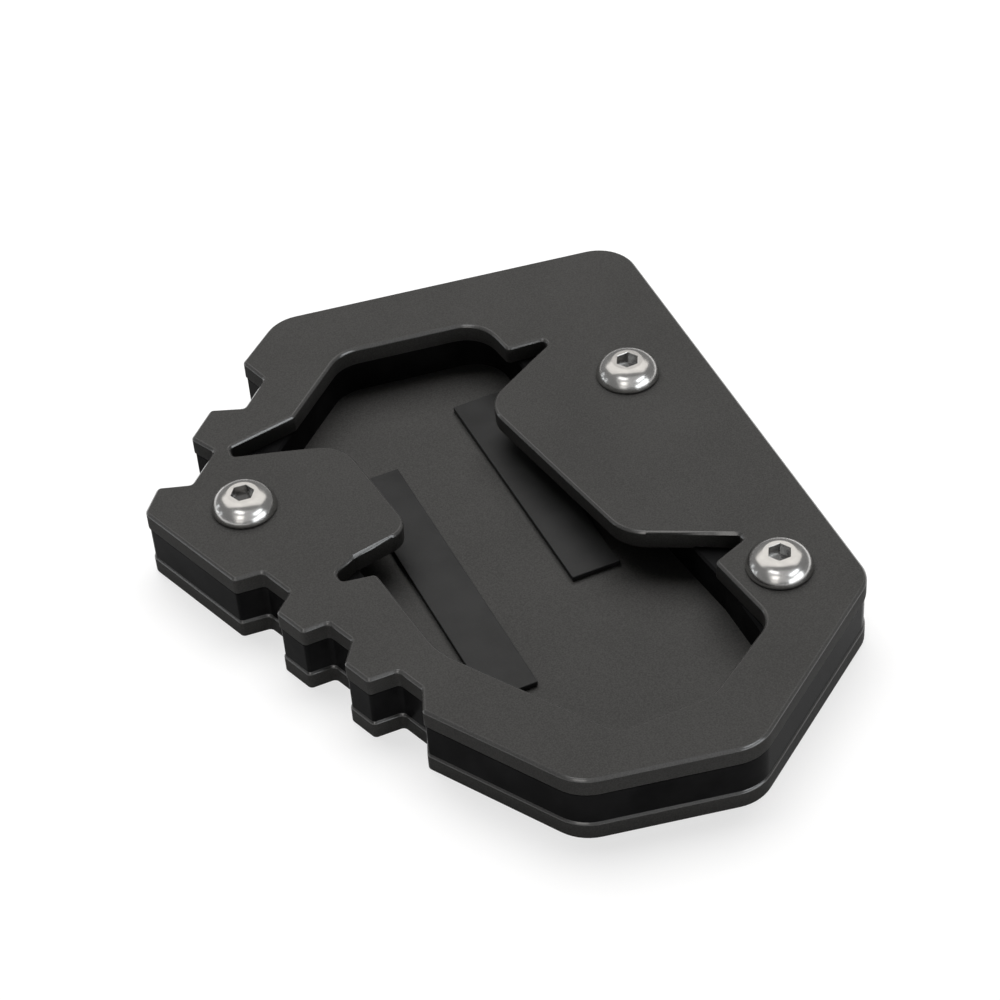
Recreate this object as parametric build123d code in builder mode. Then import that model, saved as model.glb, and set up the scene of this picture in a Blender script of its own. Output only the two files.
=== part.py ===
from build123d import *
import os
from math import cos, radians, sin

# Foot enlarger for a motorbike's side stand. Two notched plates carry a spacer ring between them,
# and the stand's own foot sits in the pocket, on two strips and under two bent tabs.
# Origin: middle of the outline at the underside of the base plate. +Y to the rear, +Z up, millimetres.

# Layers, from the ground up
base_thickness = 3.0
spacer_height = 5.5
clamp_thickness = 3.0
plate_edge_break = 0.4
spacer_edge_break = 0.35
spacer_inset = 0.2

# Outline of both plates: sharp corners and the rounds on them
rear_left = (-11.2, 56.15)
rear_right = (43.97, 47.6)
front_right = (40.93, -35.95)
front = (12.8, -56.2)
front_left = (-11.35, -51.15)
side_corner = (-27.2, -24.75)
left_tip = (-44.05, 24.1)
left_heel = (-40.5, 28.45)
rear_shoulder = (-19.6, 48.9)
rear_round = 6.4
front_right_round = 5.4
front_round = 6.6
front_left_round = 7.0
tip_round = 1.6

# Notches, clockwise: where the mouth and the floor start and where they end along the side, and the
# depth. The first one cuts off the side's own corner.
left_notches = [
    (-7.7, -3.05, 1.65, 3.2, 4.1),
    (8.0, 10.6, 15.4, 16.7, 3.6),
    (22.25, 23.95, 29.7, 31.5, 3.85),
]
rear_notches = [
    (-0.1, 2.05, 9.6, 11.15, 4.5),
    (17.85, 19.8, 26.75, 29.35, 4.75),
]
notch_round = 0.8
notch_overcut = 1.0

# Opening for the stand's foot: sharp corners and their rounds
opening_corners = [
    ((-5.55, 43.8), 5.6),
    ((16.4, 40.4), 5.6),
    ((24.85, -36.6), 4.1),
    ((11.35, -45.35), 5.6),
    ((-2.5, -45.35), 3.4),
    ((-17.55, -21.15), 12.0),
    ((-22.3, 28.85), 5.6),
]
spacer_opening_gap = 0.4
spacer_corner_shift = 1.2
spacer_wall_run = 11.65
spacer_wall_turn = 6.3

# Tabs: the bend line, then the corners measured from it and along it, in the tab's own plane
tab_bend = 3.5
left_bend_start = (-23.05, 27.75)
left_bend_heading = -85.0
left_bend_length = 26.55
left_tab_reach = 9.9
left_tab_rear_taper = 3.75
left_tab_front_taper = 1.55
left_tab_rear_round = 5.6
left_tab_front_round = 3.6
right_bend_start = (20.8, 29.15)
right_bend_heading = -80.8
right_bend_length = 49.7
right_tab_reach = 12.2
right_tab_rear_taper = 4.0
right_tab_front_taper = 10.6
right_tab_rear_round = 5.5
right_tab_front_round = 7.0

# Relief notches at the tabs' roots: steps from the end of the bend line round the notch
left_rear_relief = [(-5.3, 1.75), (0.15, 1.95), (12.45, 2.2)]
left_front_relief = [(-3.5, -1.85), (0.15, -1.7), (6.35, -1.25)]
right_rear_relief = [(2.4, 1.3), (0.0, 1.3), (-7.95, 0.8)]
right_front_relief = [(0.25, -0.25), (-0.05, -0.95), (-7.0, -2.7)]
relief_round = 0.7
right_front_relief_round = 0.35
relief_mouth_round = 0.8
tab_relief_overcut = 1.0

# Screws: button heads with a hexagon socket
screw_pitch_across = 61.5
screw_pitch_along = 46.7
screw_rear_row = 18.3
screw_diameter = 5.0
screw_length = 10.0
screw_tip_chamfer = 0.6
head_diameter = 9.5
head_height = 2.75
head_rim = 0.55
head_edge = 0.2
head_crown_diameter = 6.5
head_dome_radius = 3.2
socket_width = 3.0
socket_depth = 1.9
clearance_hole_gap = 0.25
tapped_hole_gap = 0.1

# Strips on the base plate's floor
pad_width = 7.5
pad_thickness = 0.9
pad_edge_break = 0.15
left_pad_length = 49.2
left_pad_middle = (-9.1, -1.25)
right_pad_length = 42.0
right_pad_middle = (11.4, 11.15)

spacer_bottom = base_thickness
clamp_bottom = spacer_bottom + spacer_height
clamp_top = clamp_bottom + clamp_thickness
screw_places = {
    "screw_left": (-screw_pitch_across / 2, screw_rear_row),
    "screw_rear": (screw_pitch_across / 2, screw_rear_row),
    "screw_right": (screw_pitch_across / 2, screw_rear_row - screw_pitch_along),
}
socket_turns = {"screw_left": -7.0, "screw_rear": 2.0, "screw_right": 0.0}
tabs = [
    {
        "side": 1,
        "bend_start": left_bend_start,
        "heading": left_bend_heading,
        "length": left_bend_length,
        "reach": left_tab_reach,
        "rear_taper": left_tab_rear_taper,
        "front_taper": left_tab_front_taper,
        "rear_round": left_tab_rear_round,
        "front_round": left_tab_front_round,
        "rear_relief": left_rear_relief,
        "front_relief": left_front_relief,
        "front_relief_round": relief_round,
    },
    {
        "side": -1,
        "bend_start": right_bend_start,
        "heading": right_bend_heading,
        "length": right_bend_length,
        "reach": right_tab_reach,
        "rear_taper": right_tab_rear_taper,
        "front_taper": right_tab_front_taper,
        "rear_round": right_tab_rear_round,
        "front_round": right_tab_front_round,
        "rear_relief": right_rear_relief,
        "front_relief": right_front_relief,
        "front_relief_round": right_front_relief_round,
    },
]


def walk(start, steps):
    """The points reached from a start by steps, one after the other."""
    points = []
    place = Vector(*start)
    for step in steps:
        place = place + Vector(*step)
        points.append(place)
    return points


def along(start, heading, distance):
    """The point at a distance from a start, in the direction of a heading in degrees."""
    return Vector(*start) + Vector(cos(radians(heading)), sin(radians(heading))) * distance


def meet(first, first_way, second, second_way):
    """The point where two lines cross, each given by a point on it and its direction."""
    step = second - first
    turn = first_way.X * second_way.Y - first_way.Y * second_way.X
    return first + first_way * ((step.X * second_way.Y - step.Y * second_way.X) / turn)


def spacer_opening_corners():
    """Corners and rounds of the spacer's opening: its right wall starts further out and turns once."""
    first, (rear_corner, rear_curve), (front_corner, front_curve), after, *rest = opening_corners
    rear = Vector(*rear_corner) + Vector(spacer_corner_shift, 0)
    end = Vector(*front_corner)
    wall = (end - rear).normalized()
    knee = end - wall * spacer_wall_run
    front = meet(knee, wall.rotate(Axis.Z, -spacer_wall_turn), end, Vector(*after[0]) - end)
    return [first, (rear, rear_curve), (knee, 0), (front, front_curve), after, *rest]


def notch_points(side_start, side_end, notch, levels):
    """Points of a notch in its side: its two sides are taken at each of two depths."""
    run = (Vector(*side_end) - Vector(*side_start)).normalized()
    inward = Vector(run.Y, -run.X)
    mouth_in, floor_in, floor_out, mouth_out, depth = notch
    outer, inner = levels
    way_in = [(mouth_in + (floor_in - mouth_in) * level / depth, level) for level in (outer, inner)]
    way_out = [(mouth_out + (floor_out - mouth_out) * level / depth, level) for level in (inner, outer)]
    return [Vector(*side_start) + run * s + inward * level for s, level in way_in + way_out]


def round_corner(sketch, corner, radius):
    """Rounds the corner of a sketch that lies nearest to a point."""
    fillet(sketch.vertices().sort_by_distance(corner)[0], radius=radius)


def tab_plane(tab):
    """Plane of a tab's top: its X runs from the bend line to the tip, and it dips by the bend."""
    level = Vector(0, 0, 1)
    bend = Vector(cos(radians(tab["heading"])), sin(radians(tab["heading"])))
    tip = bend.cross(level) * -tab["side"]
    dipped = tip * cos(radians(tab_bend)) - level * sin(radians(tab_bend))
    upright = level * cos(radians(tab_bend)) + tip * sin(radians(tab_bend))
    start_x, start_y = tab["bend_start"]
    return Plane(origin=(start_x, start_y, clamp_top), x_dir=dipped, z_dir=upright)


def tab_corners(tab):
    """Corners of a tab in its own plane, from the rear end of the bend line round the tip."""
    run = -tab["side"]
    return [
        (0, 0),
        (tab["reach"], run * tab["rear_taper"]),
        (tab["reach"], run * (tab["length"] - tab["front_taper"])),
        (0, run * tab["length"]),
    ]


def break_edges(part, level, amount, kept=()):
    """Chamfers the edges that lie level at the given height, apart from those nearest to kept points."""
    edges = part.edges().filter_by_position(Axis.Z, level - 0.01, level + 0.01)
    for point in kept:
        edges = edges.sort_by_distance((point.X, point.Y, level))[1:]
    chamfer(edges, length=amount)


# Shared outline of the two plates
with BuildSketch() as outline:
    with BuildLine():
        Polyline(
            rear_left, rear_right, front_right, front, front_left,
            side_corner, left_tip, left_heel, rear_shoulder, close=True,
        )
    make_face()
    for corner, radius in [
        (rear_left, rear_round),
        (rear_right, rear_round),
        (front_right, front_right_round),
        (front, front_round),
        (front_left, front_left_round),
        (left_tip, tip_round),
    ]:
        round_corner(outline, corner, radius)
    sides = [(side_corner, left_tip, notch) for notch in left_notches]
    sides += [(left_heel, rear_shoulder, notch) for notch in rear_notches]
    for start, end, notch in sides:
        with BuildLine():
            Polyline(*notch_points(start, end, notch, (-notch_overcut, notch[-1])), close=True)
        make_face(mode=Mode.SUBTRACT)
    for start, end, notch in sides:
        for corner in notch_points(start, end, notch, (0, notch[-1])):
            round_corner(outline, corner, notch_round)

# Opening of the spacer: a little wider than the clamp plate's, so that the plate's lip hides its edge
spacer_corners = spacer_opening_corners()
with BuildSketch() as spacer_opening:
    with BuildLine():
        Polyline(*[corner for corner, radius in spacer_corners], close=True)
    make_face()
    for corner, radius in spacer_corners:
        if radius > 0:
            round_corner(spacer_opening, corner, radius)
    offset(amount=spacer_opening_gap)

# Opening of the clamp plate, cut back to the tabs' bend lines and round their relief notches
with BuildSketch() as clamp_opening:
    with BuildLine():
        Polyline(*[corner for corner, radius in opening_corners], close=True)
    make_face()
    for corner, radius in opening_corners:
        round_corner(clamp_opening, corner, radius)
    for tab in tabs:
        bend_end = along(tab["bend_start"], tab["heading"], tab["length"])
        rear_walk = walk(tab["bend_start"], tab["rear_relief"])
        front_walk = walk(bend_end, tab["front_relief"])
        with BuildLine():
            Polyline(tab["bend_start"], *rear_walk, *reversed(front_walk), bend_end, close=True)
        make_face()
    for tab in tabs:
        bend_end = along(tab["bend_start"], tab["heading"], tab["length"])
        *rear_root, rear_mouth = walk(tab["bend_start"], tab["rear_relief"])
        *front_root, front_mouth = walk(bend_end, tab["front_relief"])
        for corner in rear_root:
            round_corner(clamp_opening, corner, relief_round)
        for corner in front_root:
            round_corner(clamp_opening, corner, tab["front_relief_round"])
        for corner in (rear_mouth, front_mouth):
            round_corner(clamp_opening, corner, relief_mouth_round)

# Base plate, tapped for the screws
with BuildPart() as base_plate:
    with BuildSketch():
        add(outline.sketch)
    extrude(amount=base_thickness)
    break_edges(base_plate, base_thickness, plate_edge_break)
    with Locations(*[(x, y, base_thickness) for x, y in screw_places.values()]):
        Hole(screw_diameter / 2 + tapped_hole_gap)
base_plate.part.label = "base_plate"

# Spacer ring between the plates, its top relieved where the tabs dip over it
with BuildPart() as spacer_frame:
    with BuildSketch(Plane.XY.offset(spacer_bottom)):
        offset(outline.sketch, amount=-spacer_inset)
        add(spacer_opening.sketch, mode=Mode.SUBTRACT)
    extrude(amount=spacer_height)
    break_edges(spacer_frame, clamp_bottom, spacer_edge_break)
    for tab in tabs:
        with BuildSketch(tab_plane(tab).offset(-clamp_thickness)):
            corners = tab_corners(tab)
            behind = [(-tab_relief_overcut, y) for x, y in (corners[-1], corners[0])]
            with BuildLine():
                Polyline(*corners, *behind, close=True)
            make_face()
        extrude(amount=clamp_thickness, mode=Mode.SUBTRACT)
    with Locations(*[(x, y, clamp_bottom) for x, y in screw_places.values()]):
        Hole(screw_diameter / 2 + clearance_hole_gap)
spacer_frame.part.label = "spacer_frame"

# Clamp plate's tabs, each drawn flat in its own dipped plane
tab_parts = []
for tab in tabs:
    top = tab_plane(tab)
    corners = tab_corners(tab)
    with BuildSketch() as tab_face:
        with BuildLine():
            Polyline(*corners, close=True)
        make_face()
        round_corner(tab_face, corners[1], tab["rear_round"])
        round_corner(tab_face, corners[2], tab["front_round"])
    with BuildPart() as tab_part:
        with BuildSketch(top):
            add(tab_face.sketch)
        extrude(amount=-clamp_thickness)
        rim = tab_part.faces().sort_by(Axis(top.origin, top.z_dir))[-1].edges()
        chamfer(rim.sort_by(Axis(top.origin, top.x_dir))[1:], length=plate_edge_break)
    tab_parts.append(tab_part.part)

# Clamp plate
with BuildPart() as clamp_plate:
    with BuildSketch(Plane.XY.offset(clamp_bottom)):
        add(outline.sketch)
        add(clamp_opening.sketch, mode=Mode.SUBTRACT)
    extrude(amount=clamp_thickness)
    bend_middles = [along(tab["bend_start"], tab["heading"], tab["length"] / 2) for tab in tabs]
    break_edges(clamp_plate, clamp_top, plate_edge_break, kept=bend_middles)
    with Locations(*[(x, y, clamp_top) for x, y in screw_places.values()]):
        Hole(screw_diameter / 2 + clearance_hole_gap)
    for tab_part in tab_parts:
        add(tab_part)
clamp_plate.part.label = "clamp_plate"

# Strips that the stand's foot rests on
pads = {}
for name, middle, length in [
    ("pad_left", left_pad_middle, left_pad_length),
    ("pad_right", right_pad_middle, right_pad_length),
]:
    with BuildPart() as pad:
        with BuildSketch(Plane.XY.offset(base_thickness)):
            with Locations(middle):
                Rectangle(pad_width, length)
        extrude(amount=pad_thickness)
        chamfer(pad.faces().sort_by(Axis.Z)[-1].edges(), length=pad_edge_break)
    pad.part.label = name
    pads[name] = pad.part

# Button-head screws, each turned as it was left when it was tightened
screws = {}
for name, (x, y) in screw_places.items():
    turn = radians(socket_turns[name])
    seat = Plane(origin=(x, y, clamp_top), x_dir=(cos(turn), sin(turn), 0))
    side_view = Plane(origin=seat.origin, x_dir=seat.x_dir, z_dir=-seat.y_dir)
    shank = screw_diameter / 2
    head = head_diameter / 2
    crown = head_crown_diameter / 2
    with BuildPart() as screw:
        with BuildSketch(side_view):
            with BuildLine():
                Polyline(
                    (crown, head_height), (0, head_height), (0, -screw_length),
                    (shank - screw_tip_chamfer, -screw_length),
                    (shank, screw_tip_chamfer - screw_length),
                    (shank, 0), (head - head_edge, 0), (head, head_edge), (head, head_rim),
                )
                RadiusArc((head, head_rim), (crown, head_height), -head_dome_radius)
            make_face()
        revolve(axis=Axis(seat.origin, seat.z_dir))
        with BuildSketch(seat.offset(head_height)):
            RegularPolygon(radius=socket_width / 2, side_count=6, major_radius=False)
        extrude(amount=-socket_depth, mode=Mode.SUBTRACT)
    screw.part.label = name
    screws[name] = screw.part

os.makedirs("parts", exist_ok=True)
solids = [base_plate.part, spacer_frame.part, clamp_plate.part, *pads.values(), *screws.values()]
for solid in solids:
    export_step(solid, f"parts/{solid.label}.step")
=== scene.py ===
"""Studio picture of a foot enlarger for a motorbike's side stand.

Two notched black plates carry a smooth spacer ring between them. The stand's own foot would sit in
the pocket, on two dark strips and under two bent tabs. Three polished button-head screws hold the
stack together. Sizes are in millimetres and angles in degrees, unless a docstring says otherwise.
"""

import logging
import math
from dataclasses import dataclass, field
from enum import Enum
from typing import Any, Callable, Iterable, Optional, Union

import bmesh
import bpy
from mathutils import Matrix, Vector


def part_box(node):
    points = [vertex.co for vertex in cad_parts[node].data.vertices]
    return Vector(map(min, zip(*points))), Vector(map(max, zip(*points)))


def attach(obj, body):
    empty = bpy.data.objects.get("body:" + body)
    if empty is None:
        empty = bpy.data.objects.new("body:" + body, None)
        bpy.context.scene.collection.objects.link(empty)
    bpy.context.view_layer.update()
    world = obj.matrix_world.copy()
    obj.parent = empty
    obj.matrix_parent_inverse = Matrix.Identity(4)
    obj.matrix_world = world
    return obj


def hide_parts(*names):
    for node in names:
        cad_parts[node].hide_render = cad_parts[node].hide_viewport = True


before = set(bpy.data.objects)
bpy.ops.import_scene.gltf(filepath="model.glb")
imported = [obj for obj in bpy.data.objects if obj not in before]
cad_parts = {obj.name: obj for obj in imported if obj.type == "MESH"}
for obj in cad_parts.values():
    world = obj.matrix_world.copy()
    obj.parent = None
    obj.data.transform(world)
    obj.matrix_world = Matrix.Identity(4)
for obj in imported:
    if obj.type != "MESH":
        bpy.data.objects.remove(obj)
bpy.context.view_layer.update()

# One millimetre in the scene's metres, and the slack in tests of where a point is
MM = 0.001
NEAR = 0.01

ROOT = "root"

# A noise's middle, and the range that most of it lies in
NOISE_MIDDLE = 0.5
NOISE_RANGE = (0.3, 0.7)

log = logging.getLogger("foot_enlarger")

Number = Union[int, float]


def deselect_all() -> None:
    """Leaves nothing selected, so that an operator acts only on what is picked next."""
    for obj in bpy.context.selected_objects:
        obj.select_set(False)
    bpy.context.view_layer.objects.active = None


def pick(obj: bpy.types.Object) -> None:
    """Selects one object alone and makes it the active one.

    Args:
        obj: The object to select.
    """
    deselect_all()
    obj.select_set(True)
    bpy.context.view_layer.objects.active = obj


def apply_modifier(obj: bpy.types.Object, kind: str, **settings: Any) -> None:
    """Adds a modifier to an object and applies it.

    Args:
        obj: The object to change.
        kind: Blender's name of the modifier's type.
        settings: The modifier's own settings.
    """
    pick(obj)
    modifier = obj.modifiers.new(kind.lower(), kind)
    for name, value in settings.items():
        setattr(modifier, name, value)
    bpy.ops.object.modifier_apply(modifier=modifier.name)


def settle(obj: bpy.types.Object) -> None:
    """Moves an object's place into its mesh, so that the object itself sits at the origin.

    Args:
        obj: The finished piece.
    """
    pick(obj)
    bpy.ops.object.transform_apply(location=True, rotation=True, scale=True)


class Socket:
    """A shader socket that can be used in Python expressions."""

    def __init__(self, graph: "ShaderGraph", output: bpy.types.NodeSocket) -> None:
        """Wraps an output.

        Args:
            graph: The graph that the output belongs to.
            output: The node's output socket.
        """
        self.graph = graph
        self.output = output

    def _math(self, operation: str, first: Any, second: Any) -> "Socket":
        """Adds one Math node and returns its result."""
        return self.graph.node("ShaderNodeMath", {"operation": operation}, {0: first, 1: second})

    def __add__(self, other: Any) -> "Socket":
        """Socket plus other."""
        return self._math("ADD", self, other)

    __radd__ = __add__

    def __sub__(self, other: Any) -> "Socket":
        """Socket minus other."""
        return self._math("SUBTRACT", self, other)

    def __rsub__(self, other: Any) -> "Socket":
        """Other minus socket."""
        return self._math("SUBTRACT", other, self)

    def __mul__(self, other: Any) -> "Socket":
        """Socket times other."""
        return self._math("MULTIPLY", self, other)

    __rmul__ = __mul__

    def wave(self) -> "Socket":
        """Sine of the socket in radians, brought to 0 to 1."""
        return self._math("SINE", self, 0.0) * 0.5 + 0.5

    def toward(self, other: "Socket", share: Number) -> "Socket":
        """Mean of this socket and another.

        Args:
            other: The other socket.
            share: The other socket's weight, from 0 to 1.

        Returns:
            The weighted mean.
        """
        return self * (1 - share) + other * share

    def band(self, low: Number, high: Number) -> "Socket":
        """Smooth step from 0 at low to 1 at high.

        Args:
            low: Value where the step starts.
            high: Value where it ends.

        Returns:
            A socket from 0 to 1.
        """
        settings = {"interpolation_type": "SMOOTHSTEP", "clamp": True}
        inputs = {"Value": self, "From Min": low, "From Max": high}
        return self.graph.node("ShaderNodeMapRange", settings, inputs)


@dataclass(frozen=True)
class Lumps:
    """Kind of noise: the size of its lumps, the number of finer layers and their weight."""

    size: float
    detail: float = 2.0
    weight: float = 0.5


@dataclass(frozen=True)
class Relief:
    """How deep a pattern is, and the share of that depth that the light shows."""

    depth: float
    strength: float


class ShaderGraph:
    """Node tree of one material or of the world, with its nodes made by one method."""

    def __init__(self, tree: bpy.types.NodeTree) -> None:
        """Empties the tree.

        Args:
            tree: The node tree to fill.
        """
        self.tree = tree
        tree.nodes.clear()

    def node(self, kind: str, settings: dict[str, Any], inputs: dict[Union[str, int], Any],
             output: Union[str, int] = 0) -> Socket:
        """Adds a node, sets it up and fills its sockets.

        Args:
            kind: The node's type.
            settings: The node's own settings, set first.
            inputs: Values or sockets for its inputs, by name or number.
            output: Which output to return, by name or number.

        Returns:
            The chosen output.
        """
        made = self.tree.nodes.new(kind)
        for name, value in settings.items():
            setattr(made, name, value)
        for key, value in inputs.items():
            if isinstance(value, Socket):
                self.tree.links.new(value.output, made.inputs[key])
            else:
                made.inputs[key].default_value = value
        return Socket(self, made.outputs[output])

    def place(self, centre: Iterable[Number] = (0, 0, 0)) -> Socket:
        """Position on the piece in millimetres.

        Args:
            centre: Point that becomes the pattern's middle.

        Returns:
            A vector socket.
        """
        spot = self.node("ShaderNodeTexCoord", {}, {}, "Object")
        shift = [-value for value in centre]
        return self.node("ShaderNodeMapping", {}, {
            "Vector": spot, "Location": shift, "Scale": (1 / MM,) * 3})

    def noise(self, place: Socket, lumps: Lumps) -> Socket:
        """Noise from about 0.3 to 0.7.

        Args:
            place: Position in millimetres.
            lumps: Kind of noise.

        Returns:
            The noise value.
        """
        return self.node("ShaderNodeTexNoise", {}, {
            "Vector": place, "Scale": 1 / lumps.size, "Detail": lumps.detail, "Roughness": lumps.weight})

    def part_of(self, vector: Socket, axis: str) -> Socket:
        """One number of a vector.

        Args:
            vector: The vector.
            axis: X, Y or Z.

        Returns:
            The number.
        """
        return self.node("ShaderNodeSeparateXYZ", {}, {"Vector": vector}, axis)

    def rise(self) -> Socket:
        """How far the surface faces up: 1 on a top, 0 on a wall."""
        return self.part_of(self.node("ShaderNodeNewGeometry", {}, {}, "Normal"), "Z")

    def seen(self) -> Socket:
        """1 for rays from the camera and from mirrors or glass, and 0 for the rest."""
        rays = [self.node("ShaderNodeLightPath", {}, {}, f"Is {kind} Ray")
                for kind in ("Camera", "Glossy", "Transmission")]
        return rays[0] + rays[1] + rays[2]

    def blend(self, factor: Any, first: Any, second: Any) -> Socket:
        """Colour between two colours.

        Args:
            factor: 0 gives the first and 1 the second.
            first: The first colour, as four numbers or a socket.
            second: The second colour, in the same way.

        Returns:
            The mixed colour.
        """
        return self.node("ShaderNodeMix", {"data_type": "RGBA"}, {0: factor, 6: first, 7: second}, 2)

    def bump(self, height: Socket, relief: Relief, under: Optional[Socket] = None) -> Socket:
        """Normal that is bent by a height.

        Args:
            height: The height from 0 to 1.
            relief: What a height of 1 stands for.
            under: A normal that this one is laid over.

        Returns:
            The normal.
        """
        inputs = {"Height": height, "Distance": relief.depth * MM, "Strength": relief.strength}
        if under is not None:
            inputs["Normal"] = under
        return self.node("ShaderNodeBump", {}, inputs)

    def surface(self, inputs: dict[Union[str, int], Any]) -> None:
        """Ends a material with a Principled shader.

        Args:
            inputs: Values or sockets of the shader.
        """
        shader = self.node("ShaderNodeBsdfPrincipled", {}, inputs)
        self.show("ShaderNodeOutputMaterial", shader)

    def show(self, kind: str, shader: Socket) -> None:
        """Links a shader to the tree's output.

        Args:
            kind: Type of the output node.
            shader: What it shows.
        """
        end = self.tree.nodes.new(kind)
        self.tree.links.new(shader.output, end.inputs["Surface"])


def rgba(colour: Iterable[Number]) -> tuple[float, ...]:
    """Colour with full opacity."""
    return (*colour, 1.0)


def new_material(name: str, dress: Callable[[ShaderGraph], None]) -> bpy.types.Material:
    """Makes a material and lets a finish fill its tree.

    Args:
        name: The material's name.
        dress: Function that fills the tree.

    Returns:
        The material.
    """
    material = bpy.data.materials.new(name)
    material.use_nodes = True
    dress(ShaderGraph(material.node_tree))
    return material


@dataclass(frozen=True)
class Finish:
    """A finish that fills a material's tree."""

    name: str

    def material(self) -> bpy.types.Material:
        """The finished material."""
        return new_material(self.name, self.dress)

    def dress(self, graph: ShaderGraph) -> None:
        """Fills the material's tree.

        Args:
            graph: The tree.
        """
        raise NotImplementedError


@dataclass(frozen=True)
class PowderCoat(Finish):
    """Fine-textured satin black powder coat, with its orange peel and a sheen on its edges."""

    name: str = "satin_powder_coat"
    dark: tuple[float, float, float] = (0.040, 0.0394, 0.0383)
    light: tuple[float, float, float] = (0.057, 0.0561, 0.0545)
    reflectance: float = 0.01
    edge_gloss: float = 0.18
    edge_index: float = 1.75
    wall_rise: tuple[float, float] = (0.12, 0.35)
    top_rise: tuple[float, float] = (0.9, 0.985)
    roughness: float = 0.4
    roughness_swing: float = 0.14
    roughness_grain: float = 0.6
    cloud: Lumps = Lumps(14.0, 3.0)
    peel: Lumps = Lumps(0.9, 2.0, 0.55)
    peel_relief: Relief = Relief(0.03, 0.6)
    grain: Lumps = Lumps(0.22, 2.0, 0.6)
    grain_relief: Relief = Relief(0.016, 0.8)
    tone_grain: float = 0.8

    def dress(self, graph: ShaderGraph) -> None:
        """Fills the material's tree.

        Args:
            graph: The tree.
        """
        place = graph.place()
        cloud = graph.noise(place, self.cloud)
        peel = graph.noise(place, self.peel)
        grain = graph.noise(place, self.grain)
        tone = cloud.toward(grain, self.tone_grain).band(*NOISE_RANGE)
        unevenness = cloud.toward(grain, self.roughness_grain) - NOISE_MIDDLE
        soft = graph.bump(peel, self.peel_relief)
        rise = graph.rise()
        graph.surface({
            "Base Color": graph.blend(tone, rgba(self.dark), rgba(self.light)),
            "Roughness": self.roughness + unevenness * (2 * self.roughness_swing),
            "Normal": graph.bump(grain, self.grain_relief, soft),
            "Specular IOR Level": self.reflectance,
            "Coat Weight": rise.band(*self.wall_rise) * (1 - rise.band(*self.top_rise)),
            "Coat Roughness": self.edge_gloss,
            "Coat IOR": self.edge_index,
        })


@dataclass(frozen=True)
class SmoothBlack(Finish):
    """Smooth black finish of the milled spacer, with the cutter's faint level lines on its walls."""

    name: str = "smooth_black"
    dark: tuple[float, float, float] = (0.007, 0.007, 0.0073)
    light: tuple[float, float, float] = (0.012, 0.012, 0.0124)
    reflectance: float = 0.01
    roughness: float = 0.16
    roughness_swing: float = 0.1
    roughness_grain: float = 0.5
    cloud: Lumps = Lumps(6.0, 3.0)
    grain: Lumps = Lumps(0.25, 2.0, 0.6)
    grain_relief: Relief = Relief(0.004, 0.4)
    line_pitch: float = 0.35
    line_waver: float = 2.0
    line_relief: Relief = Relief(0.0012, 0.5)

    def dress(self, graph: ShaderGraph) -> None:
        """Fills the material's tree.

        Args:
            graph: The tree.
        """
        place = graph.place()
        height = graph.part_of(place, "Z")
        cloud = graph.noise(place, self.cloud)
        grain = graph.noise(place, self.grain)
        lines = (height * (2 * math.pi / self.line_pitch) + cloud * self.line_waver).wave()
        unevenness = cloud.toward(grain, self.roughness_grain) - NOISE_MIDDLE
        cut = graph.bump(lines, self.line_relief)
        graph.surface({
            "Base Color": graph.blend(cloud.band(*NOISE_RANGE), rgba(self.dark), rgba(self.light)),
            "Roughness": self.roughness + unevenness * (2 * self.roughness_swing),
            "Normal": graph.bump(grain, self.grain_relief, cut),
            "Specular IOR Level": self.reflectance,
        })


@dataclass(frozen=True)
class StripRubber(Finish):
    """Smooth dark rubber of the foot's strips, with a faint matt skin."""

    name: str = "strip_rubber"
    dark: tuple[float, float, float] = (0.016, 0.016, 0.016)
    light: tuple[float, float, float] = (0.024, 0.024, 0.024)
    reflectance: float = 0.2
    roughness: float = 0.5
    roughness_swing: float = 0.1
    cloud: Lumps = Lumps(5.0, 4.0)
    grain: Lumps = Lumps(0.12, 2.0, 0.7)
    grain_relief: Relief = Relief(0.006, 0.4)
    tone_grain: float = 0.4

    def dress(self, graph: ShaderGraph) -> None:
        """Fills the material's tree.

        Args:
            graph: The tree.
        """
        place = graph.place()
        cloud = graph.noise(place, self.cloud)
        grain = graph.noise(place, self.grain)
        tone = cloud.toward(grain, self.tone_grain).band(*NOISE_RANGE)
        graph.surface({
            "Base Color": graph.blend(tone, rgba(self.dark), rgba(self.light)),
            "Roughness": self.roughness + (cloud - NOISE_MIDDLE) * (2 * self.roughness_swing),
            "Normal": graph.bump(grain, self.grain_relief),
            "Specular IOR Level": self.reflectance,
        })


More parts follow.
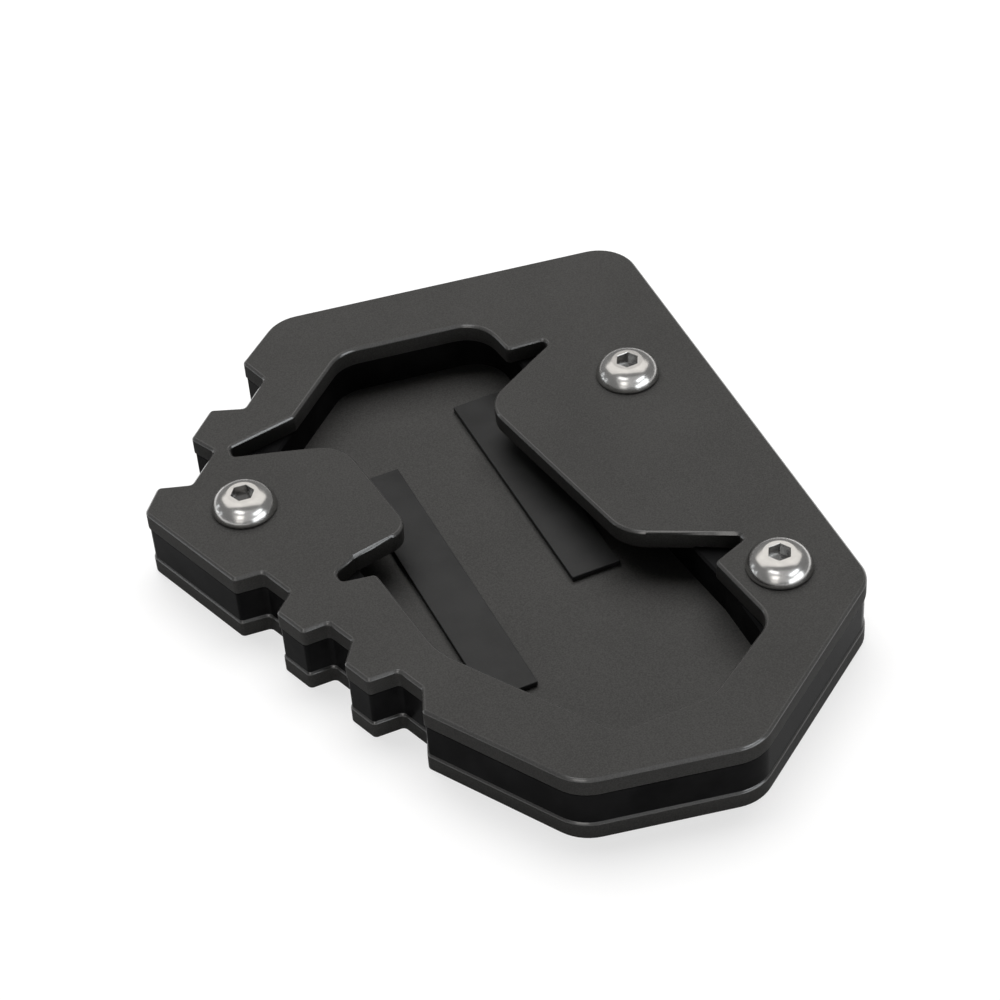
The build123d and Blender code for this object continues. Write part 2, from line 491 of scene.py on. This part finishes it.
@dataclass(frozen=True)
class PolishedSteel(Finish):
    """Polished stainless steel, turned about one axis, with painted shade inside the screw's socket."""

    centre: tuple[float, float, float]
    bright: tuple[float, float, float] = (0.61, 0.60, 0.585)
    dull: tuple[float, float, float] = (0.55, 0.542, 0.53)
    tone_range: tuple[float, float] = (0.35, 0.65)
    tone_grain: float = 0.3
    # Painted shade: the grey that the steel's colour turns to deep in the socket's recess
    painted_socket_shade: tuple[float, float, float] = (0.4, 0.396, 0.39)
    socket_radii: tuple[float, float] = (1.8, 1.9)
    socket_levels: tuple[float, float] = (-0.3, -0.05)
    roughness: float = 0.22
    roughness_swing: float = 0.04
    face_roughness: float = 0.2
    face_rise: tuple[float, float] = (0.9, 0.99)
    cloud: Lumps = Lumps(2.2, 3.0)
    grain: Lumps = Lumps(0.2, 3.0, 0.6)
    grain_relief: Relief = Relief(0.0012, 0.4)
    ring_pitch: float = 0.16
    ring_waver: float = 1.5
    ring_relief: Relief = Relief(0.0012, 0.6)

    def dress(self, graph: ShaderGraph) -> None:
        """Fills the material's tree.

        Args:
            graph: The tree.
        """
        place = graph.place(self.centre)
        flat = graph.node("ShaderNodeVectorMath", {"operation": "MULTIPLY"}, {0: place, 1: (1, 1, 0)})
        radius = graph.node("ShaderNodeVectorMath", {"operation": "LENGTH"}, {0: flat}, "Value")
        height = graph.part_of(place, "Z")
        face = graph.rise().band(*self.face_rise)
        cloud = graph.noise(place, self.cloud)
        grain = graph.noise(place, self.grain)
        rings = (radius * (2 * math.pi / self.ring_pitch) + cloud * self.ring_waver).wave()
        turned = graph.bump(rings * face, self.ring_relief)
        gloss = self.roughness + face * (self.face_roughness - self.roughness)
        # Painted shade: the steel's colour darkens inside the hex socket, below the crown, where the
        # recess is in shade
        inside = (1 - radius.band(*self.socket_radii)) * (1 - height.band(*self.socket_levels))
        tone = cloud.toward(grain, self.tone_grain).band(*self.tone_range)
        steel = graph.blend(tone, rgba(self.dull), rgba(self.bright))
        graph.surface({
            "Base Color": graph.blend(inside, steel, rgba(self.painted_socket_shade)),
            "Metallic": 1.0,
            "Roughness": gloss + (grain - NOISE_MIDDLE) * (2 * self.roughness_swing),
            "Normal": graph.bump(grain, self.grain_relief, turned),
        })


@dataclass
class PlateStack:
    """The two notched plates and the spacer ring, as merged copies of their solids with softened edges."""

    coated: tuple[str, ...] = ("base_plate", "clamp_plate")
    smooth: tuple[str, ...] = ("spacer_frame",)
    merge_distance: float = 0.002
    flat_angle: float = 0.3
    coat_edge: float = 0.13
    spacer_edge: float = 0.06
    edge_steps: int = 2
    edge_angle: float = 25.0
    fold_angles: tuple[float, float] = (1.0, 10.0)
    fold_length: float = 4.0
    fold_clearance: float = 1.0
    smooth_angle: float = 28.0
    face_weight: int = 50

    def build(self) -> list[bpy.types.Object]:
        """Makes and dresses the three pieces.

        Returns:
            The pieces.
        """
        coat = PowderCoat().material()
        black = SmoothBlack().material()
        pieces = [self.soften(node, coat, self.coat_edge, "black_plate") for node in self.coated]
        pieces += [self.soften(node, black, self.spacer_edge, "black_spacer") for node in self.smooth]
        return pieces

    def soften(self, node: str, material: bpy.types.Material, edge: float, slot: str) -> bpy.types.Object:
        """Copies a node, merges its faces, rounds its edges and dresses it.

        Args:
            node: Name of the node.
            material: Its finish.
            edge: Width of the softened edge.
            slot: The record's material slot.

        Returns:
            The piece that stands for the node.
        """
        piece = merged_copy(node, f"{node}_finished", self.merge_distance, self.flat_angle)
        self.mark_edges(piece)
        apply_modifier(
            piece, "BEVEL", width=edge * MM, segments=self.edge_steps, limit_method="WEIGHT",
            use_clamp_overlap=False, harden_normals=False,
        )
        dress(piece, material, self.smooth_angle)
        apply_modifier(
            piece, "WEIGHTED_NORMAL", mode="FACE_AREA", weight=self.face_weight, keep_sharp=True)
        return register(piece, slot, node)

    def mark_edges(self, piece: bpy.types.Object) -> None:
        """Marks the sharp edges to soften: all but those at a tab's fold and on its underside.

        Args:
            piece: The merged copy.
        """
        mesh = bmesh.new()
        mesh.from_mesh(piece.data)
        weight = mesh.edges.layers.float.new("bevel_weight_edge")
        angles = {edge: math.degrees(edge.calc_face_angle()) for edge in mesh.edges if edge.is_manifold}
        low, high = self.fold_angles
        folds = [edge for edge, angle in angles.items()
                 if low < angle < high and edge.calc_length() > self.fold_length * MM]
        ends = [vert.co for edge in folds for vert in edge.verts]
        level = min((end.z for end in ends), default=-MM) - NEAR * MM
        for edge, angle in angles.items():
            spots = [vert.co for vert in edge.verts]
            at_fold = any(
                (spot.xy - end.xy).length < self.fold_clearance * MM for spot in spots for end in ends)
            under = any(spot.z < level for spot in spots)
            if angle > self.edge_angle and not at_fold and not under:
                edge[weight] = 1.0
        mesh.to_mesh(piece.data)
        mesh.free()


def merged_copy(node: str, name: str, distance: float, flat_angle: float) -> bpy.types.Object:
    """Copies a node's mesh as one closed surface with whole flat faces.

    Args:
        node: Name of the node.
        name: Name of the copy.
        distance: Vertices nearer than this become one.
        flat_angle: Faces that differ by less than this become one.

    Returns:
        The copy.
    """
    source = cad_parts[node]
    copy = bpy.data.objects.new(name, source.data.copy())
    bpy.context.scene.collection.objects.link(copy)
    pick(copy)
    bpy.ops.mesh.customdata_custom_splitnormals_clear()
    bpy.ops.object.mode_set(mode="EDIT")
    bpy.ops.mesh.select_all(action="SELECT")
    bpy.ops.mesh.remove_doubles(threshold=distance * MM)
    bpy.ops.mesh.mark_sharp(clear=True)
    bpy.ops.mesh.dissolve_limited(angle_limit=math.radians(flat_angle))
    bpy.ops.object.mode_set(mode="OBJECT")
    return copy


def dress(piece: bpy.types.Object, material: bpy.types.Material, smooth_angle: float) -> None:
    """Gives a piece its finish and smooth shading.

    Args:
        piece: The piece.
        material: Its finish.
        smooth_angle: Edges sharper than this stay sharp.
    """
    piece.data.materials.clear()
    piece.data.materials.append(material)
    pick(piece)
    bpy.ops.object.shade_smooth_by_angle(angle=math.radians(smooth_angle))


def register(piece: bpy.types.Object, slot: str, *nodes: str) -> bpy.types.Object:
    """Seats a piece on the object's body and hides the nodes that it stands for.

    Args:
        piece: The finished piece.
        slot: The record's material slot. Not used.
        nodes: The nodes that it replaces.

    Returns:
        The piece.
    """
    settle(piece)
    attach(piece, ROOT)
    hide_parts(*nodes)
    log.info("%s: %d faces", piece.name, len(piece.data.polygons))
    return piece


@dataclass
class FootStrips:
    """The two dark strips on the base plate, each a rubber face on a thin tape."""

    nodes: tuple[str, ...] = ("pad_left", "pad_right")
    edge: float = 0.12
    edge_steps: int = 3
    edge_angle: float = 60.0
    smooth_angle: float = 40.0
    tape_height: float = 0.2
    tape_inset: float = 0.08

    def build(self) -> list[bpy.types.Object]:
        """Makes and dresses both strips.

        Returns:
            The pieces.
        """
        rubber = StripRubber().material()
        return [self.strip(node, rubber) for node in self.nodes]

    def strip(self, node: str, rubber: bpy.types.Material) -> bpy.types.Object:
        """Models one strip in its node's place.

        Args:
            node: Name of the node.
            rubber: The strip's finish.

        Returns:
            The piece.
        """
        low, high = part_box(node)
        deselect_all()
        bpy.ops.mesh.primitive_cube_add(size=1, location=(low + high) / 2, scale=high - low)
        piece = bpy.context.object
        piece.name = f"{node}_finished"
        settle(piece)
        pick(piece)
        bpy.ops.object.mode_set(mode="EDIT")
        bpy.ops.mesh.select_all(action="SELECT")
        bpy.ops.mesh.bisect(plane_co=(0, 0, low.z + self.tape_height * MM), plane_no=(0, 0, 1))
        bpy.ops.object.mode_set(mode="OBJECT")
        self.narrow(piece, low.z)
        apply_modifier(
            piece, "BEVEL", width=self.edge * MM, segments=self.edge_steps, limit_method="ANGLE",
            angle_limit=math.radians(self.edge_angle), use_clamp_overlap=True,
        )
        dress(piece, rubber, self.smooth_angle)
        return register(piece, "black_pad", node)

    def narrow(self, piece: bpy.types.Object, floor: float) -> None:
        """Draws the tape's lower edge in from the rubber's.

        Args:
            piece: The strip.
            floor: Height of its underside, in metres.
        """
        mesh = bmesh.new()
        mesh.from_mesh(piece.data)
        middle = sum((v.co for v in mesh.verts), Vector()) / len(mesh.verts)
        for vert in mesh.verts:
            if vert.co.z < floor + self.tape_height * MM / 2:
                side = vert.co - middle
                vert.co.x -= math.copysign(self.tape_inset * MM, side.x)
                vert.co.y -= math.copysign(self.tape_inset * MM, side.y)
        mesh.to_mesh(piece.data)
        mesh.free()


@dataclass
class ButtonHeadScrews:
    """The three polished button-head screws, turned, threaded and socketed."""

    turns: dict[str, float] = field(default_factory=lambda: {
        "screw_left": -7.0, "screw_rear": 2.0, "screw_right": 0.0})
    head_height: float = 2.75
    head_radius: float = 4.75
    rim_height: float = 0.3
    rim_edge: float = 0.2
    crown_radius: float = 2.3
    crown_round: float = 1.0
    dome_radius: float = 3.0
    dome_steps: int = 26
    crown_steps: int = 10
    shank_radius: float = 2.5
    thread_pitch: float = 0.8
    thread_depth: float = 0.43
    rings_per_pitch: int = 8
    tip_chamfer: float = 0.6
    socket_sides: int = 6
    socket_width: float = 3.0
    socket_depth: float = 1.9
    socket_mouth: float = 0.1
    drill_depth: float = 0.45
    drill_tip: float = 0.02
    sides: int = 128
    smooth_angle: float = 24.0

    def build(self) -> list[bpy.types.Object]:
        """Makes and dresses the screws.

        Returns:
            The pieces.
        """
        return [self.screw(node, turn) for node, turn in self.turns.items()]

    def profile(self, length: float) -> list[tuple[float, float]]:
        """Radius and height, from the underside of the head, of each ring from the tip to the crown.

        Args:
            length: Length of the shank.

        Returns:
            Pairs of radius and height.
        """
        start = self.tip_chamfer - length
        count = round(-start / self.thread_pitch * self.rings_per_pitch)
        rings = [(self.shank_radius - self.tip_chamfer, -length)]
        rings += [(self.shank_radius, start - start * step / count) for step in range(count)]
        rings += [
            (self.shank_radius, 0.0),
            (self.head_radius - self.rim_edge, 0.0),
            (self.head_radius, self.rim_edge),
        ]
        return rings + self.dome()

    def dome(self) -> list[tuple[float, float]]:
        """Rings of the head's dome and of the round that leads to its flat crown.

        Returns:
            Pairs of radius and height.
        """
        low = Vector((self.head_radius, self.rim_height))
        high = Vector((self.crown_radius, self.head_height))
        chord = high - low
        reach = math.sqrt(self.dome_radius ** 2 - (chord.length / 2) ** 2)
        centre = (low + high) / 2 + Vector((-chord.y, chord.x)).normalized() * reach
        level = self.head_height - self.crown_round
        inward = math.sqrt((self.dome_radius - self.crown_round) ** 2 - (level - centre.y) ** 2)
        brow = Vector((centre.x + inward, level))
        first, meet = low - centre, brow - centre
        turn = math.atan2(meet.y, meet.x)
        rings = arc(centre, self.dome_radius, math.atan2(first.y, first.x), turn, self.dome_steps)
        return rings + arc(brow, self.crown_round, turn, math.pi / 2, self.crown_steps)[1:]

    def screw(self, node: str, turn: float) -> bpy.types.Object:
        """Models one screw in its node's place.

        Args:
            node: Name of the node.
            turn: How far its socket is turned.

        Returns:
            The piece.
        """
        low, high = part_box(node)
        centre = (low + high) / 2
        seat = high.z - self.head_height * MM
        rings = self.profile((seat - low.z) / MM)
        piece = draw_up(f"{node}_finished", self.sides, centre, seat, rings)
        self.cut_thread(piece, centre, seat)
        self.cut_socket(piece, centre, high.z, math.radians(turn))
        crown = tuple(value / MM for value in (centre.x, centre.y, high.z))
        dress(piece, PolishedSteel(f"{node}_steel", crown).material(), self.smooth_angle)
        return register(piece, "polished_screw", node)

    def cut_thread(self, piece: bpy.types.Object, centre: Vector, seat: float) -> None:
        """Draws the shank's rings in and out, so that they follow the thread's helix.

        Args:
            piece: The turned solid.
            centre: A point on the axis, in metres.
            seat: Height of the head's underside, in metres.
        """
        runout = self.thread_pitch
        for vert in piece.data.vertices:
            height = (vert.co.z - seat) / MM
            arm = Vector((vert.co.x - centre.x, vert.co.y - centre.y))
            if height > -NEAR or arm.length < (self.shank_radius - NEAR) * MM:
                continue
            phase = (height / self.thread_pitch - math.atan2(arm.y, arm.x) / (2 * math.pi)) % 1.0
            groove = abs(2 * phase - 1) * self.thread_depth
            groove *= min(1.0, -height / runout)
            arm *= 1 - groove * MM / arm.length
            vert.co.x, vert.co.y = centre.x + arm.x, centre.y + arm.y

    def cut_socket(self, piece: bpy.types.Object, centre: Vector, top: float, turn: float) -> None:
        """Cuts the hexagon socket, with its broken mouth and the cone that the drill left.

        Args:
            piece: The screw.
            centre: A point on the axis, in metres.
            top: Height of the crown, in metres.
            turn: How far the socket is turned, in radians.
        """
        corner = self.socket_width / math.sqrt(3)
        levels = [
            (self.drill_tip, -self.socket_depth - self.drill_depth),
            (self.socket_width / 2, -self.socket_depth),
            (corner, -self.socket_depth),
            (corner, -self.socket_mouth / 2),
            (corner + self.socket_mouth / 2, 0.0),
            (corner + self.socket_mouth, self.socket_mouth),
        ]
        turn += math.pi / self.socket_sides
        cutter = draw_up("socket_cutter", self.socket_sides, centre, top, levels, turn)
        apply_modifier(piece, "BOOLEAN", operation="DIFFERENCE", object=cutter, solver="EXACT")
        bpy.data.objects.remove(cutter)


def draw_up(name: str, sides: int, centre: Vector, base: float, rings: list[tuple[float, float]],
            turn: float = 0.0) -> bpy.types.Object:
    """Draws a disc up through its rings, one extrusion for each.

    Args:
        name: The solid's name.
        sides: Number of its sides.
        centre: A point on its axis, in metres.
        base: Height that the rings' heights are counted from, in metres.
        rings: Radius and height of each ring.
        turn: How far the solid is turned, in radians.

    Returns:
        The closed solid.
    """
    deselect_all()
    radius, height = rings[0]
    bpy.ops.mesh.primitive_circle_add(
        vertices=sides, radius=radius * MM, fill_type="NGON", rotation=(0, 0, turn),
        location=(centre.x, centre.y, base + height * MM),
    )
    solid = bpy.context.object
    solid.name = name
    bpy.ops.object.mode_set(mode="EDIT")
    bpy.ops.mesh.select_all(action="SELECT")
    for next_radius, next_height in rings[1:]:
        bpy.ops.mesh.extrude_region_move(
            TRANSFORM_OT_translate={"value": (0, 0, (next_height - height) * MM)})
        share = next_radius / radius
        bpy.ops.transform.resize(
            value=(share, share, 1), center_override=(centre.x, centre.y, base + next_height * MM))
        radius, height = next_radius, next_height
    bpy.ops.mesh.select_all(action="SELECT")
    bpy.ops.mesh.normals_make_consistent(inside=False)
    bpy.ops.object.mode_set(mode="OBJECT")
    settle(solid)
    return solid


def arc(centre: Vector, radius: float, start: float, end: float, steps: int) -> list[tuple[float, float]]:
    """Points along an arc in a profile's plane.

    Args:
        centre: The arc's middle.
        radius: Its radius.
        start: Angle of its first point, in radians.
        end: Angle of its last point, in radians.
        steps: Number of pieces that it is cut into.

    Returns:
        Pairs of radius and height.
    """
    angles = [start + (end - start) * step / steps for step in range(steps + 1)]
    return [(centre.x + radius * math.cos(angle), centre.y + radius * math.sin(angle)) for angle in angles]


class Tone(Enum):
    """Colour of a studio light."""

    WARM = (1.0, 0.97, 0.93)
    NEUTRAL = (1.0, 1.0, 1.0)
    COOL = (0.93, 0.97, 1.0)


@dataclass(frozen=True)
class Softbox:
    """A soft light, placed by the direction that the object sees it in and the angles that it spans.

    Azimuth 0 is behind the object and 90 is to its right. A light that is mirrored shows in glossy
    surfaces, and one that lights falls on matt ones. Its distance is in metres.
    """

    name: str
    azimuth: float
    elevation: float
    width: float
    height: float
    radiance: float
    tone: Tone = Tone.NEUTRAL
    distance: float = 0.9
    mirrored: bool = True
    lights: bool = True

    def hang(self, aim: Vector) -> bpy.types.Object:
        """Adds the light.

        Args:
            aim: The point that it faces, in metres.

        Returns:
            The light's object.
        """
        azimuth, elevation = math.radians(self.azimuth), math.radians(self.elevation)
        way = Vector((
            math.sin(azimuth) * math.cos(elevation),
            math.cos(azimuth) * math.cos(elevation),
            math.sin(elevation),
        ))
        light = bpy.data.lights.new(self.name, "AREA")
        light.shape = "RECTANGLE"
        light.size = 2 * self.distance * math.tan(math.radians(self.width / 2))
        light.size_y = 2 * self.distance * math.tan(math.radians(self.height / 2))
        light.energy = self.radiance * math.pi * light.size * light.size_y
        light.color = self.tone.value
        lamp = bpy.data.objects.new(self.name, light)
        lamp.location = aim + way * self.distance
        lamp.rotation_mode = "QUATERNION"
        lamp.rotation_quaternion = (-way).to_track_quat("-Z", "Y")
        lamp.visible_camera = False
        lamp.visible_glossy = self.mirrored
        lamp.visible_diffuse = self.lights
        bpy.context.scene.collection.objects.link(lamp)
        return lamp


@dataclass
class Studio:
    """Pale floor, soft lights and the camera. The aim, the floor's size and the clip are in metres."""

    floor_bounce: float = 0.55
    floor_seen: float = 0.95
    floor_glow: float = 0.7
    floor_size: float = 6.0
    sky_light: float = 0.09
    sky_seen: float = 0.26
    aim: tuple[float, float, float] = (0.0, 0.0, 0.012)
    camera_place: tuple[float, float, float] = (-102.93, -264.03, 276.42)
    camera_heading: float = -21.562
    camera_tilt: float = 47.212
    camera_roll: float = -4.57
    focal_length: float = 98.28
    sensor: float = 36.0
    clip: tuple[float, float] = (0.01, 20.0)
    softboxes: tuple[Softbox, ...] = (
        Softbox("front_right_box", 142.5, 12.5, 28, 24, 2.8, Tone.COOL, lights=False),
        Softbox("front_right_high_box", 147.0, 39.0, 30, 12, 3.6, Tone.COOL, lights=False),
        Softbox("front_box", 167.5, 8.5, 17, 20, 2.8, Tone.COOL, lights=False),
        Softbox("front_left_box", -139.0, 35.0, 20, 18, 1.8, Tone.WARM, lights=False),
        Softbox("front_left_low_box", -139.0, 13.0, 21, 16, 0.75, Tone.WARM),
        Softbox("top_box", -125.0, 62.0, 24, 12, 2.6, Tone.NEUTRAL, lights=False),
        Softbox("near_box", -165.0, 42.0, 84, 60, 0.30, Tone.NEUTRAL, distance=1.0, lights=False),
        Softbox("rear_box", 22.0, 61.0, 84, 46, 1.0, Tone.WARM),
        Softbox("left_box", -57.0, 1.0, 8, 9, 2.4, Tone.COOL, lights=False),
        Softbox("left_strip", -70.0, 8.0, 4, 20, 1.6, Tone.COOL, lights=False),
        Softbox("left_rear_strip", -46.0, 11.0, 5, 18, 1.6, Tone.COOL, lights=False),
        Softbox("front_low_light", -172.0, 3.8, 70, 7, 5.0, Tone.NEUTRAL, mirrored=False),
        Softbox("rear_key", 22.0, 60.0, 56, 44, 5.4, Tone.NEUTRAL, mirrored=False),
    )

    def build(self) -> None:
        """Makes the floor, the lights, the surroundings and the camera."""
        self.lay_floor()
        for box in self.softboxes:
            box.hang(Vector(self.aim))
        self.fill_surroundings()
        self.set_camera()
        bpy.context.scene.view_settings.view_transform = "Standard"

    def lay_floor(self) -> None:
        """Adds the floor under the object."""
        deselect_all()
        bpy.ops.mesh.primitive_plane_add(size=self.floor_size, location=(0, 0, 0))
        floor = bpy.context.object
        floor.name = "studio_floor"
        floor.data.materials.append(new_material("studio_floor", self.dress_floor))

    def dress_floor(self, graph: ShaderGraph) -> None:
        """Fills the floor's tree: white where it is seen, and a plainer grey in the light it gives back.

        Args:
            graph: The tree.
        """
        seen = graph.seen()
        tone = graph.blend(seen, rgba((self.floor_bounce,) * 3), rgba((self.floor_seen,) * 3))
        matt = graph.node("ShaderNodeBsdfDiffuse", {}, {"Color": tone})
        white = graph.node("ShaderNodeEmission", {}, {"Color": rgba((1, 1, 1)), "Strength": 1.0})
        mixed = graph.node("ShaderNodeMixShader", {}, {0: seen * self.floor_glow, 1: matt, 2: white})
        graph.show("ShaderNodeOutputMaterial", mixed)

    def fill_surroundings(self) -> None:
        """Fills the world with a plain soft grey, a little lighter where a mirror shows it."""
        world = bpy.data.worlds.new("studio_surroundings")
        world.use_nodes = True
        graph = ShaderGraph(world.node_tree)
        tone = graph.blend(graph.seen(), rgba((self.sky_light,) * 3), rgba((self.sky_seen,) * 3))
        light = graph.node("ShaderNodeBackground", {}, {"Color": tone, "Strength": 1.0})
        graph.show("ShaderNodeOutputWorld", light)
        bpy.context.scene.world = world

    def set_camera(self) -> None:
        """Adds the camera at the photograph's viewing angle."""
        lens = bpy.data.cameras.new("photo_camera")
        lens.sensor_width = self.sensor
        lens.lens = self.focal_length
        lens.clip_start, lens.clip_end = self.clip
        camera = bpy.data.objects.new("photo_camera", lens)
        turn = Matrix.Rotation(math.radians(self.camera_heading), 4, "Z")
        turn @= Matrix.Rotation(math.radians(self.camera_tilt), 4, "X")
        turn @= Matrix.Rotation(math.radians(self.camera_roll), 4, "Z")
        camera.matrix_world = Matrix.Translation(Vector(self.camera_place) * MM) @ turn
        bpy.context.scene.collection.objects.link(camera)
        bpy.context.scene.camera = camera


def main() -> None:
    """Builds the object and its studio."""
    logging.basicConfig(level=logging.INFO, format="%(name)s: %(message)s")
    for assembly in (PlateStack(), FootStrips(), ButtonHeadScrews()):
        pieces = assembly.build()
        log.info("%s: %d pieces", type(assembly).__name__, len(pieces))
    Studio().build()


if __name__ == "__main__":
    main()
